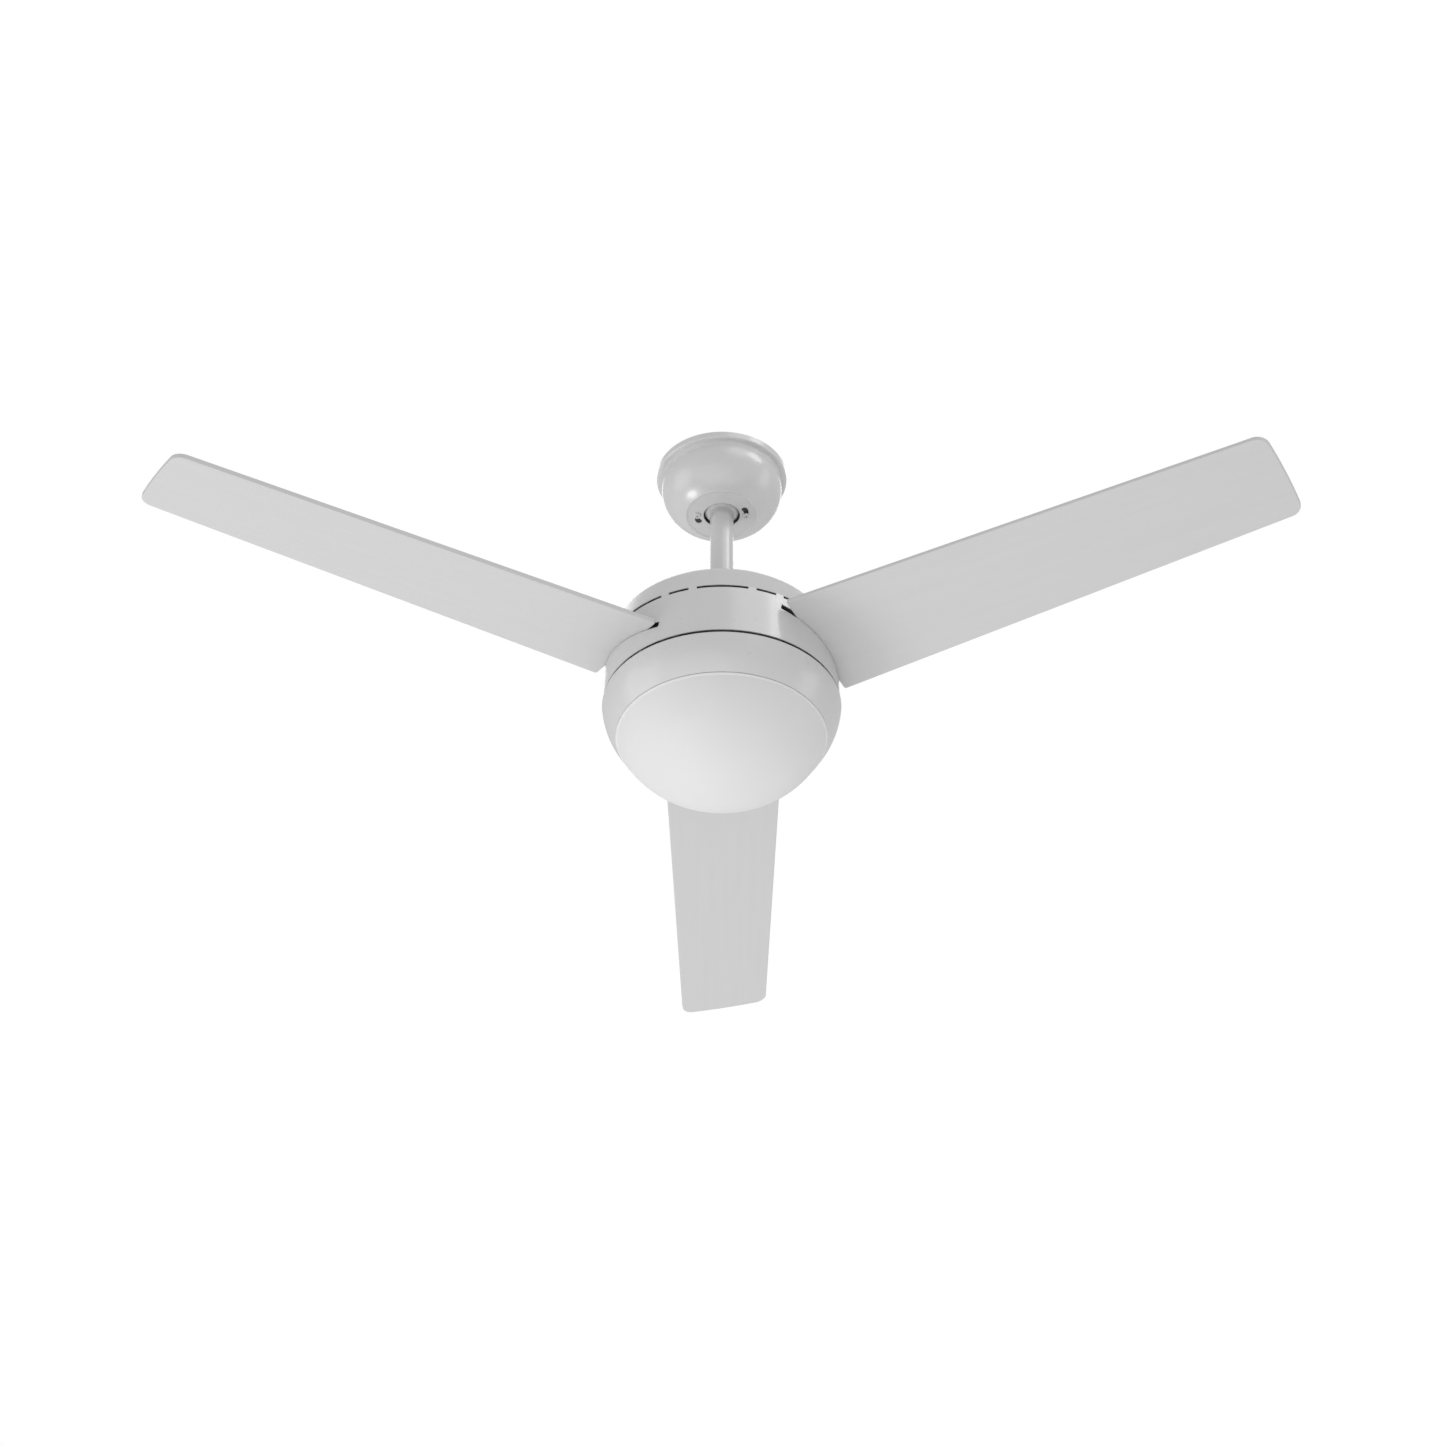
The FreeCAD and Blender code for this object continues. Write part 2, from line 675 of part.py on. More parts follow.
def rotor_shell_upper():
    """Upper casing half with three posts for the top cap."""
    post_top = cap_height_at(post_circle) - sheet
    post = Part.makeCylinder(post_radius, post_top - motor_top_z + 1,
                             Vec(post_circle, 0, motor_top_z - 1))
    hole = Part.makeCylinder(m4_radius, tapped_depth + 6,
                             Vec(post_circle, 0, post_top - tapped_depth - 5))
    body = fused([rotor_shell()] + around(post, mid_azimuths))
    body = body.cut(group(around(hole, mid_azimuths)))
    return body.common(cap_inside())


def rotor_shell_lower():
    """Lower casing half, tapped for the blade brackets and the drum."""
    body = flipped(rotor_shell())
    body = moved(body, 0, 0, 2 * motor_split_z)
    for v in (-bracket_screw_v, bracket_screw_v):
        hole = Part.makeCylinder(m5_radius, tapped_depth, Vec(bracket_screw_u, v, motor_bottom_z))
        body = body.cut(group(around(hole, blade_azimuths)))
    ear_hole = Part.makeCylinder(m4_radius, tapped_depth, Vec(ear_screw_circle, 0, motor_bottom_z))
    return body.cut(group(around(ear_hole, mid_azimuths)))


def shell_screws():
    """Six screws that clamp the casing halves."""
    screw = moved(pan_screw(m4_radius, 2 * shell_ear_height - 1, *m4_head),
                  shell_screw_circle, 0, motor_split_z - shell_ear_height)
    return group(around(screw, shell_screw_angles))


# ---- blades --------------------------------------------------------------------------------
blade_root_u = 119.0
blade_lead_root = 71.5
blade_lead_tip = 61.7
blade_trail_root = 64.4
blade_trail_tip = 44.6
blade_corner_u = 657.9
blade_tip_corner_radius = 14.0
blade_root_corner_radius = 2.5
blade_edge_round = 1.0
tongue_inner_u = 93.0
tongue_half_width = 42.0
pad_thickness = 3.5
pad_inner_u = 90.5
pad_outer_u = 116.0
pad_half_width = 40.0
bracket_lug = (58.0, 99.0)    # reach under the casing, from and to
bracket_lug_half_width = 22.0
bracket_lug_thickness = 4.0
rib_half_width = 2.5
washer_radius = 6.5
washer_thickness = 1.0
blade_screw_u = 104.0
blade_screw_v = 28.0
slot_clearance = 0.8


def blade_board():
    """Tapered board with a narrower tongue at its root, in the blade's own frame."""
    corners = [(tongue_inner_u, -tongue_half_width), (blade_root_u, -tongue_half_width),
               (blade_root_u, -blade_lead_root), (blade_corner_u, -blade_lead_tip)]
    after_tip = [(blade_corner_u, blade_trail_tip), (blade_root_u, blade_trail_root),
                 (blade_root_u, tongue_half_width), (tongue_inner_u, tongue_half_width)]
    points = [Vec(u, v, 0) for u, v in corners]
    far_points = [Vec(u, v, 0) for u, v in after_tip]
    edges = [Part.makeLine(a, b) for a, b in zip(points, points[1:])]
    tip_middle = Vec(sweep_radius, (blade_trail_tip - blade_lead_tip) / 2, 0)
    edges.append(Part.Arc(points[-1], tip_middle, far_points[0]).toShape())
    edges += [Part.makeLine(a, b) for a, b in zip(far_points, far_points[1:])]
    edges.append(Part.makeLine(far_points[-1], points[0]))
    board = Part.Face(Part.Wire(edges)).extrude(Vec(0, 0, blade_thickness))
    board = round_upright_edges(board, blade_tip_corner_radius, lambda u, v: u > 600)
    board = round_upright_edges(board, blade_root_corner_radius,
                                lambda u, v: u < 130 and abs(v) > 60)
    board = round_upright_edges(board, 4.0, lambda u, v: u < 130 and abs(v) < 60)
    rims = [edge for edge in board.Edges if edge.BoundBox.ZLength < 1e-6]
    board = board.makeFillet(blade_edge_round, rims)
    for v in (-blade_screw_v, 0, blade_screw_v):
        board = board.cut(Part.makeCylinder(m5_radius + 0.2, 20, Vec(blade_screw_u, v, -5)))
    return board


def blade_bracket():
    """Cast bracket under a blade's tongue, with a lug under the rotor casing, at azimuth 0."""
    pad = block((pad_inner_u, pad_outer_u), (-pad_half_width, pad_half_width), (-pad_thickness, 0))
    for v in (-blade_screw_v, 0, blade_screw_v):
        pad = pad.cut(Part.makeCylinder(m5_radius, pad_thickness, Vec(blade_screw_u, v, -pad_thickness)))
    pad = on_blade(pad, 0)
    lug_low = motor_bottom_z - bracket_lug_thickness
    lug = block(bracket_lug, (-bracket_lug_half_width, bracket_lug_half_width),
                (lug_low, motor_bottom_z))
    lug = round_upright_edges(lug, 8.0, lambda x, y: x < bracket_lug[0] + 1)
    shapes = [pad, lug]
    tilt = math.tan(math.radians(blade_pitch))
    for v in (-bracket_screw_v, bracket_screw_v):
        top = blade_plane_z - tilt * v - pad_thickness / 2
        side = v - rib_half_width
        outline = [Vec(pad_inner_u, side, lug_low), Vec(bracket_lug[1], side, lug_low),
                   Vec(pad_outer_u - 1, side, top - 4), Vec(pad_outer_u - 1, side, top),
                   Vec(pad_inner_u, side, top), Vec(pad_inner_u, side, lug_low)]
        shapes.append(Part.Face(Part.makePolygon(outline)).extrude(Vec(0, 2 * rib_half_width, 0)))
    body = fused(shapes)
    for v in (-bracket_screw_v, bracket_screw_v):
        body = body.cut(Part.makeCylinder(m5_radius, bracket_lug_thickness,
                                          Vec(bracket_screw_u, v, lug_low)))
    return body


def bracket_screws():
    """Two screws that hold each bracket to the rotor casing."""
    screw = pan_screw(m5_radius, bracket_lug_thickness + 5.0, *m5_head)
    screws = []
    for v in (-bracket_screw_v, bracket_screw_v):
        placed = moved(screw, bracket_screw_u, v, motor_bottom_z - bracket_lug_thickness)
        screws += around(placed, blade_azimuths)
    return group(screws)


def blade_screws():
    """Three screws through each blade into its bracket."""
    screw = flipped(pan_screw(m5_radius, 11.0, *m5_head))
    screws = []
    for azimuth in blade_azimuths:
        for v in (-blade_screw_v, 0, blade_screw_v):
            placed = moved(screw, blade_screw_u, v, blade_thickness + washer_thickness)
            screws.append(on_blade(placed, azimuth))
    return group(screws)


def blade_washers():
    """Rubber washers under the blade screws' heads."""
    washers = []
    ring = tube(m5_radius, washer_radius, 0, washer_thickness)
    for azimuth in blade_azimuths:
        for v in (-blade_screw_v, 0, blade_screw_v):
            washers.append(on_blade(moved(ring, blade_screw_u, v, blade_thickness), azimuth))
    return group(washers)


# ---- turning housing -----------------------------------------------------------------------
tab_offsets = (-28.8, -14.5, 14.5, 28.8)
tab_half_angle = 2.0
tab_depth = 2.6
slot_lead = 67.2              # half widths of the blade's slot, ahead and behind
slot_trail = 61.7
ear_half_width = 9.0
ear_sheet = 1.5
ear_height = 16.0
cap_corner_z = cap_top_z - cap_corner_radius
cap_crown = 2.0               # the top rises this much from the shoulder to the hole
corner_start = 16.0           # degrees, where the wall runs into the corner's arc


def cap_height_at(radius):
    """Height of the cap's top face at a radius inside the shoulder."""
    share = (cap_shoulder_radius - radius) / (cap_shoulder_radius - cap_hole_radius)
    return cap_top_z + cap_crown * share


def cap_outline(offset):
    """Outer line of the cap, from the rim to the hole, moved inwards by an offset."""
    corner = (cap_shoulder_radius, cap_corner_z)
    radius = cap_corner_radius - offset
    lean = math.radians(corner_start)
    arc_start = (corner[0] + radius * math.cos(lean), corner[1] + radius * math.sin(lean))
    return [(drum_top_radius - offset, cap_rim_z), arc_start,
            circle_curve(corner, radius, corner_start, 90),
            (cap_hole_radius, cap_top_z + cap_crown - offset)]


def top_cap():
    """Dished cap of the drum, screwed to the rotor casing."""
    outer = cap_outline(0)
    inner = cap_outline(sheet)
    corner = (cap_shoulder_radius, cap_corner_z)
    inner_back = circle_curve(corner, cap_corner_radius - sheet, 90, corner_start)
    steps = outer[1:] + [inner[3], (cap_shoulder_radius, cap_top_z - sheet), inner_back, inner[0]]
    body = revolved(outer[0], steps)
    hole = Part.makeCylinder(m4_radius, 10.0, Vec(post_circle, 0, cap_top_z - 5))
    return body.cut(group(around(hole, mid_azimuths)))


def cap_inside():
    """Everything below the cap's inner face."""
    inner = cap_outline(sheet)
    return revolved((0, cap_top_z + cap_crown - sheet),
                    [inner[3], (cap_shoulder_radius, cap_top_z - sheet), (drum_top_radius, cap_corner_z),
                     (drum_top_radius, -400), (0, -400)])


def cap_screws():
    """Three screws on top of the cap."""
    screw = flipped(pan_screw(m4_radius, 10.0, *m4_head))
    screw = moved(screw, post_circle, 0, cap_height_at(post_circle - 4.0))
    return group(around(screw, mid_azimuths))


def housing_band():
    """Drum wall with tabs under the cap, blade slots and fixing ears."""
    wall = revolved((drum_top_radius, drum_top_z),
                    [(drum_bottom_radius, drum_bottom_z), (drum_bottom_radius - drum_wall, drum_bottom_z),
                     (drum_top_radius - drum_wall, drum_top_z)])
    cutter = block((tongue_inner_u, drum_bottom_radius + 15), (-slot_lead, slot_trail),
                   (-slot_clearance, blade_thickness + slot_clearance))
    cutter = cutter.makeFillet(1.2, [e for e in cutter.Edges if e.BoundBox.XLength > 20])
    for azimuth in blade_azimuths:
        wall = wall.cut(on_blade(cutter, azimuth))
    shapes = [wall]
    lip = drum_top_radius - sheet - 0.6
    for middle in mid_azimuths:
        for offset in tab_offsets:
            azimuth = middle + offset
            shapes.append(sector(drum_top_radius - tab_depth, drum_top_radius, drum_top_z - 1,
                                 cap_rim_z, azimuth, tab_half_angle))
            shapes.append(sector(drum_top_radius - tab_depth, lip, drum_top_z - 1,
                                 cap_rim_z + 1.2, azimuth, tab_half_angle))
    ear_low = motor_bottom_z - ear_sheet
    ear_y = (-ear_half_width, ear_half_width)
    ear_outer = drum_bottom_radius - drum_wall - 0.1
    ear = block((ear_screw_circle - 6, ear_outer), ear_y, (ear_low, motor_bottom_z))
    upright = block((ear_outer - 2.1, ear_outer), ear_y, (ear_low, motor_bottom_z + ear_height))
    body = fused(shapes + around(ear, mid_azimuths) + around(upright, mid_azimuths))
    hole = Part.makeCylinder(m4_radius, ear_sheet, Vec(ear_screw_circle, 0, ear_low))
    return body.cut(group(around(hole, mid_azimuths)))


def band_screws():
    """Three screws that hold the drum's ears to the rotor casing."""
    screw = moved(pan_screw(m4_radius, ear_sheet + 5.0, *m4_head),
                  ear_screw_circle, 0, motor_bottom_z - ear_sheet)
    return group(around(screw, mid_azimuths))


# ---- light kit -----------------------------------------------------------------------------
web_low = bowl_top_z - sheet
plate_radius = 62.0
plate_screw_circle = 50.0
plate_hole_circle = 32.0
plate_hole_radius = 7.0
shaft_tail_radius = 8.0
nut_radius = 13.8
nut_height = 7.5
nut_flange_radius = 15.5
web_hole_radius = 24.0
neck_radius = 110.5
neck_top_z = -366.0
lug_reach = 113.3
fitter_z = -372.0
fitter_leg_radius = 115.0
fitter_leg_half_width = 5.0
fitter_foot_radius = 102.0
fitter_screw_circle = 108.0
fitter_ring_radius = 114.2
fitter_tab_radius = 111.2
fitter_tab_half_angle = 11.0
lug_half_angle = 5.0
lug_thickness = 3.5
lamp_holder_radius = 17.0
lamp_holder_x = (-62.0, -26.0)
lamp_base_radius = 13.0
bracket_foot_x = (-80.0, -62.0)
bracket_foot_screw_x = -74.0
lamp_bracket_half_width = 9.0
lamp_bracket_sheet = 1.5


def points_on_circle(radius, azimuths):
    """(x, y) pairs on a circle about the fan's axis."""
    return [(radius * math.cos(math.radians(a)), radius * math.sin(math.radians(a))) for a in azimuths]


def bracket_screw_points(side):
    """(x, y) pairs of the screws of one lamp's bracket; side is 1 for the lamp at +Y."""
    return [(side * bracket_foot_screw_x, side * lamp_offset + shift) for shift in (-5.0, 5.0)]


def plate_points():
    """(x, y) pairs of the screws between the bowl's web and the plate above it."""
    return points_on_circle(plate_screw_circle, mid_azimuths)


def under_web_points():
    """(x, y) pairs of the screws that hold the fitter ring and the lamp brackets under the web."""
    ring_points = points_on_circle(fitter_screw_circle, blade_azimuths)
    return ring_points + bracket_screw_points(-1) + bracket_screw_points(1)


def screw_hole(x, y, low, high):
    """Cutter for one of the light kit's screws."""
    return Part.makeCylinder(m4_radius, high - low, Vec(x, y, low))


def light_kit_plate():
    """Steel plate clamped on the shaft's end, which carries the light kit."""
    body = tube(shaft_tail_radius, plate_radius, bowl_top_z, shaft_shoulder_z)
    for x, y in plate_points():
        body = body.cut(screw_hole(x, y, bowl_top_z, shaft_shoulder_z))
    hole = Part.makeCylinder(plate_hole_radius, shaft_shoulder_z - bowl_top_z,
                             Vec(plate_hole_circle, 0, bowl_top_z))
    return body.cut(group(around(hole, blade_azimuths)))


def shaft_nut():
    """Hexagon nut with a flange under the plate."""
    low = bowl_top_z - nut_height
    corners = [Vec(x, y, low) for x, y in points_on_circle(nut_radius, range(0, 361, 60))]
    nut = Part.Face(Part.makePolygon(corners)).extrude(Vec(0, 0, nut_height - 1))
    flange = tube(0, nut_flange_radius, bowl_top_z - 1.2, bowl_top_z)
    return nut.fuse(flange).cut(tube(0, shaft_tail_radius, low, bowl_top_z)).removeSplitter()


def light_bowl():
    """Pressed metal pan that carries the glass, with a flat web on top."""
    top_corner = 1.6
    wall_start_z = bowl_top_z - top_corner
    outer_start = ellipse_radius(bowl_ellipse_radius, bowl_ellipse_z, bowl_ellipse_height,
                                 wall_start_z)
    inner_size = (bowl_ellipse_radius - sheet, bowl_ellipse_z, bowl_ellipse_height - 1.0)
    inner_start = ellipse_radius(*inner_size, web_low)
    inner_end = ellipse_radius(*inner_size, bowl_rim_z)
    inner = ellipse_curve(*inner_size, web_low, bowl_rim_z)
    back = list(reversed(inner[:-1])) + [(inner_start, web_low)]
    body = revolved((web_hole_radius, bowl_top_z),
                    [(outer_start - top_corner, bowl_top_z),
                     [(outer_start - 0.45, bowl_top_z - 0.45), (outer_start, wall_start_z)],
                     ellipse_curve(bowl_ellipse_radius, bowl_ellipse_z, bowl_ellipse_height,
                                   wall_start_z, bowl_rim_z),
                     (inner_end, bowl_rim_z), back, (web_hole_radius, web_low)])
    for x, y in plate_points() + under_web_points():
        body = body.cut(screw_hole(x, y, web_low, bowl_top_z))
    return body


def light_kit_screws():
    """Screws that hold plate, fitter ring and lamp brackets to the bowl's web."""
    plate_screw = pan_screw(m4_radius, 4.0, *m4_head)
    web_screw = pan_screw(m4_radius, 3.0, *m4_head)
    screws = [moved(plate_screw, x, y, web_low) for x, y in plate_points()]
    screws += [moved(web_screw, x, y, web_low - sheet) for x, y in under_web_points()]
    return group(screws)


def glass_fitter_ring():
    """Ring with three inward tabs that the glass's lugs rest on, hung on three legs."""
    low = fitter_z - sheet
    wall_r = ellipse_radius(bowl_ellipse_radius - sheet, bowl_ellipse_z,
                            bowl_ellipse_height - 1.0, low)
    ring = tube(fitter_ring_radius, wall_r - 0.2, low, fitter_z)
    tab = sector(fitter_tab_radius, fitter_ring_radius + 2, low, fitter_z, 0, fitter_tab_half_angle)
    width = (-fitter_leg_half_width, fitter_leg_half_width)
    leg_outer = fitter_leg_radius + sheet
    leg = block((fitter_leg_radius, leg_outer), width, (fitter_z - 1.0, web_low))
    foot = block((fitter_foot_radius, leg_outer), width, (web_low - sheet, web_low))
    hanger = leg.fuse(foot).cut(screw_hole(fitter_screw_circle, 0, web_low - sheet, web_low))
    return fused([ring] + around(tab, mid_azimuths) + around(hanger, blade_azimuths))


def glass_shade():
    """Opal glass dome with a neck, a beaded shoulder and three bayonet lugs."""
    inner_radius = neck_radius - glass_wall
    inner_size = (glass_ellipse_radius - glass_wall, glass_ellipse_z, glass_ellipse_height - glass_wall)
    share = math.sqrt(1 - (inner_radius / inner_size[0]) ** 2)
    inner_z = glass_ellipse_z - inner_size[2] * share
    bottom_z = glass_ellipse_z - glass_ellipse_height
    inner_bottom_z = glass_ellipse_z - inner_size[2]
    bead_low = glass_rim_z - glass_bead_height
    bead_end = ellipse_radius(glass_ellipse_radius, glass_ellipse_z, glass_ellipse_height, bead_low)
    bead = [(glass_bead_radius - 0.1, glass_rim_z - 0.25), (glass_bead_radius, glass_rim_z - 0.7),
            (glass_bead_radius - 0.65, glass_rim_z - 1.6), (bead_end, bead_low)]
    outer = ellipse_curve(glass_ellipse_radius, glass_ellipse_z, glass_ellipse_height,
                          bead_low, bottom_z, 10)
    inner = ellipse_curve(*inner_size, inner_z, inner_bottom_z, 10)
    outer[-1] = (0, bottom_z)
    inner[-1] = (0, inner_bottom_z)
    back = list(reversed(inner[:-1])) + [(inner_radius, inner_z)]
    body = revolved((glass_bead_radius - 0.4, glass_rim_z),
                    [bead, outer, (0, inner_bottom_z), back, (inner_radius, neck_top_z - 0.6),
                     [(inner_radius + glass_wall / 2, neck_top_z), (neck_radius, neck_top_z - 0.6)],
                     (neck_radius, glass_rim_z)])
    lug_low = fitter_z + 0.4
    lug = sector(neck_radius - 0.6, lug_reach, lug_low, lug_low + lug_thickness, 0, lug_half_angle)
    return fused([body] + around(lug, mid_azimuths))


def lamp_bracket():
    """Bent strip that holds one lampholder, drawn for the lamp at +Y."""
    back_x = lamp_holder_x[0]
    width = (lamp_offset - lamp_bracket_half_width, lamp_offset + lamp_bracket_half_width)
    foot = block(bracket_foot_x, width, (web_low - sheet, web_low))
    strip = block((back_x - lamp_bracket_sheet, back_x), width, (lamp_axis_z - 12, web_low))
    body = fused([foot, strip])
    for x, y in bracket_screw_points(1):
        body = body.cut(screw_hole(x, y, web_low - sheet, web_low))
    return body


def lampholder():
    """Ceramic lampholder, drawn for the lamp at +Y, mouth towards +X."""
    back, mouth = lamp_holder_x
    centre = Vec(back, lamp_offset, lamp_axis_z)
    body = Part.makeCylinder(lamp_holder_radius - 2.5, 10, centre, AXIS_X)
    body = body.fuse(Part.makeCylinder(lamp_holder_radius, mouth - back - 8,
                                       centre + Vec(8, 0, 0), AXIS_X))
    bore = Part.makeCylinder(lamp_base_radius + 0.5, 60, centre + Vec(8, 0, 0), AXIS_X)
    return body.cut(bore).removeSplitter()


def lamp_profile(points):
    """Solid turned about the +Y lamp's axis from (distance from mouth, radius) points."""
    mouth = lamp_holder_x[1]
    edges = []
    axis_start = Vec(mouth + points[0][0], lamp_offset, lamp_axis_z)
    here = axis_start
    for step in points:
        if isinstance(step, list):
            curve = Part.BSplineCurve()
            path = [here] + [Vec(mouth + x, lamp_offset, lamp_axis_z + r) for x, r in step]
            curve.interpolate(path)
            edges.append(curve.toShape())
            here = path[-1]
        else:
            there = Vec(mouth + step[0], lamp_offset, lamp_axis_z + step[1])
            if (there - here).Length > 1e-6:
                edges.append(Part.makeLine(here, there))
            here = there
    edges.append(Part.makeLine(here, axis_start))
    face = Part.Face(Part.Wire(edges))
    return face.revolve(axis_start, AXIS_X, 360)


def lamp_base():
    """Screw base of the lamp, with its insulator and contact in one piece."""
    body = lamp_profile([(-27.5, 0), (-27.5, 4.5), (-26.0, 5.0), (-23.0, 11.4),
                         (-22.0, lamp_base_radius), (-1.5, lamp_base_radius), (-1.5, 0)])
    groove = Part.makeTorus(lamp_base_radius + 0.35, 0.9, Vec(0, 0, 0), AXIS_X)
    for i in range(5):
        x = lamp_holder_x[1] - 19.5 + 3.6 * i
        body = body.cut(moved(groove, x, lamp_offset, lamp_axis_z))
    return body


def lamp_globe():
    """Opal LED lamp envelope with its body."""
    return lamp_profile([(-1.5, 0), (-1.5, 12.6), (2.0, 13.6),
                         [(14.0, 19.0), (28.0, 26.0), (42.0, 29.6), (54.0, 29.8),
                          (67.0, 25.8), (76.5, 17.0), (81.0, 7.5), (82.0, 0)]])


def run_capacitor():
    """Boxed motor capacitor screwed under the bowl's web."""
    body = block((-24, 24), (78, 97), (web_low - 24, web_low))
    return body.makeFillet(2.5, [e for e in body.Edges if e.BoundBox.ZMin < web_low - 1])


harness_top_y = 5.6
harness_top_z = rod_top_z + 0.2
harness_bottom_y = 2.6
harness_bottom_z = shaft_bottom_z - 3


def wiring_harness():
    """Sheathed wires through rod and shaft, past both pins."""
    radius = 1.9
    wide = harness_top_y
    narrow = harness_bottom_y
    bend = 18.0
    corners = [Vec(0, wide, harness_top_z), Vec(0, wide, -186.5), Vec(0, narrow, -198.5),
               Vec(0, narrow, harness_bottom_z)]
    edges = []
    here = corners[0]
    for before, corner, after in zip(corners, corners[1:], corners[2:]):
        back = (before - corner).normalize()
        on = (after - corner).normalize()
        half_turn = (math.pi - back.getAngle(on)) / 2
        reach = bend * math.tan(half_turn)
        start = corner + back * reach
        end = corner + on * reach
        sag = bend / math.cos(half_turn) - bend
        middle = corner + (back + on).normalize() * sag
        edges.append(Part.makeLine(here, start))
        edges.append(Part.Arc(start, middle, end).toShape())
        here = end
    edges.append(Part.makeLine(here, corners[-1]))
    return wire_sweep(radius, corners[0], AXIS_Z, edges)


def harness_plugs():
    """Plugs at the two ends of the harness."""
    length = 12.0
    plug = block((-6.5, 6.5), (-5, 5), (-length, 0))
    plug = plug.makeFillet(1.0, plug.Edges)
    upper = moved(plug, 0, harness_top_y, harness_top_z + length)
    lower = moved(plug, 0, harness_bottom_y, harness_bottom_z)
    return group([upper, lower])


# ---- build ---------------------------------------------------------------------------------
def main():
    """Write every sub-part."""
    os.makedirs("parts", exist_ok=True)
    simple = [hanging_bracket, canopy, canopy_screws, remote_receiver, terminal_block,
              ball_seat_liner, hanger_ball, ball_cross_pin, set_screws, downrod, yoke, clevis_pin,
              cotter_pin, yoke_cover, cover_grommet, motor_shaft, stator_hub, stator_core,
              stator_windings, bearing_balls, rotor_ring, rotor_cage, rotor_shell_upper,
              rotor_shell_lower, shell_screws, bracket_screws, blade_screws, blade_washers,
              top_cap, cap_screws, housing_band, band_screws, light_kit_plate, shaft_nut,
              light_bowl, light_kit_screws, glass_fitter_ring, glass_shade, run_capacitor,
              wiring_harness, harness_plugs]
    for maker in simple:
        save(maker.__name__, maker())
    save("upper_bearing_inner", bearing_inner(upper_bearing_z))
    save("upper_bearing_outer", bearing_outer(upper_bearing_z))
    save("lower_bearing_inner", bearing_inner(lower_bearing_z))
    save("lower_bearing_outer", bearing_outer(lower_bearing_z))
    board = blade_board()
    bracket = blade_bracket()
    for i, azimuth in enumerate(blade_azimuths):
        save("blade_%d" % (i + 1), on_blade(board, azimuth))
        save("blade_bracket_%d" % (i + 1), turned(bracket, azimuth))
    for maker in (lamp_bracket, lampholder, lamp_base, lamp_globe):
        for i in range(2):
            save("%s_%d" % (maker.__name__, i + 1), turned(maker(), 180 * i))


main()
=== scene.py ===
"""The looks of the ceiling fan with light: its materials, the studio round it and the camera."""

from math import cos, radians, sin

import bpy
from mathutils import Matrix, Vector

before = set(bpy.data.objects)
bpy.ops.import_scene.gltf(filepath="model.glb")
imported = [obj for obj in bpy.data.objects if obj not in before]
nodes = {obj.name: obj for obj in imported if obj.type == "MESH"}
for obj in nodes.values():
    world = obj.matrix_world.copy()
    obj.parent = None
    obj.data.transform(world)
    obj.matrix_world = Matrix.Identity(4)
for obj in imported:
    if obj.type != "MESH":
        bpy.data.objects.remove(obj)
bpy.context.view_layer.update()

BLADE_DIRECTIONS = (90, 210, 330)   # where blade_1, blade_2 and blade_3 point, in degrees from +X

CAMERA_LENS = 74.15                 # mm, on a sensor SENSOR_WIDTH mm wide
SENSOR_WIDTH = 36.0
CAMERA_PLACE = (0.00087, -2.53895, -2.3616)
CAMERA_LIFT = 38.205                # degrees above level that the camera looks
CAMERA_YAW = -0.434                 # degrees that the camera and its place are turned about the rod
CAMERA_CLIP = 100.0

WHITE = (1.0, 1.0, 1.0, 1.0)
WORLD_STRENGTH = 0.58
FLOOR_HEIGHT = -2.6
FLOOR_HALF = 20.0                   # half the floor's side
FLOOR_GLOW = 0.22

LIGHT_AIM = Vector((0.0, 0.0, -0.25))
LIGHT_REACH = 2.3                   # from each light to LIGHT_AIM
LIGHTS = (  # name, degrees right of the front, degrees up, width, height, watts
    ("key", -102, -48, 0.80, 0.80, 10.2),
    ("window", 62, 40, 0.9, 0.9, 5.8),
    ("sky", 30, 41, 1.3, 1.2, 3.6),
    ("side", 84, 4, 0.8, 2.0, 3.2),
    ("left", -78, -4, 1.8, 1.8, 6.0),
    ("front", -20, -26, 2.6, 2.2, 4.0),
    ("below", 10, -60, 3.0, 3.0, 4.0),
    ("back", 180, -38, 2.0, 2.0, 5.0),
    ("above", 180, 62, 2.4, 2.4, 14.0),
)


# ---------------------------------------------------------------- camera and studio

def linked(name, data):
    """A new object of the scene."""
    obj = bpy.data.objects.new(name, data)
    bpy.context.scene.collection.objects.link(obj)
    return obj


def add_camera():
    data = bpy.data.cameras.new("camera")
    data.lens = CAMERA_LENS
    data.sensor_width = SENSOR_WIDTH
    data.clip_end = CAMERA_CLIP
    camera = linked("camera", data)
    yaw = radians(CAMERA_YAW)
    place = Vector(CAMERA_PLACE)
    place.rotate(Matrix.Rotation(yaw, 3, "Z"))
    camera.location = place
    camera.rotation_euler = (radians(90 + CAMERA_LIFT), 0.0, yaw)
    bpy.context.scene.camera = camera


def soft_box(name, azimuth, elevation, width, height, watts):
    """An oval area light that looks at the fan from a direction seen from its front."""
    data = bpy.data.lights.new(name, "AREA")
    data.shape = "ELLIPSE"
    data.size = width
    data.size_y = height
    data.energy = watts
    light = linked(name, data)
    turn, lift = radians(azimuth), radians(elevation)
    way = Vector((cos(lift) * sin(turn), -cos(lift) * cos(turn), sin(lift)))
    light.location = LIGHT_AIM + way * LIGHT_REACH
    light.rotation_euler = (LIGHT_AIM - light.location).to_track_quat("-Z", "Y").to_euler()
    light.visible_camera = False


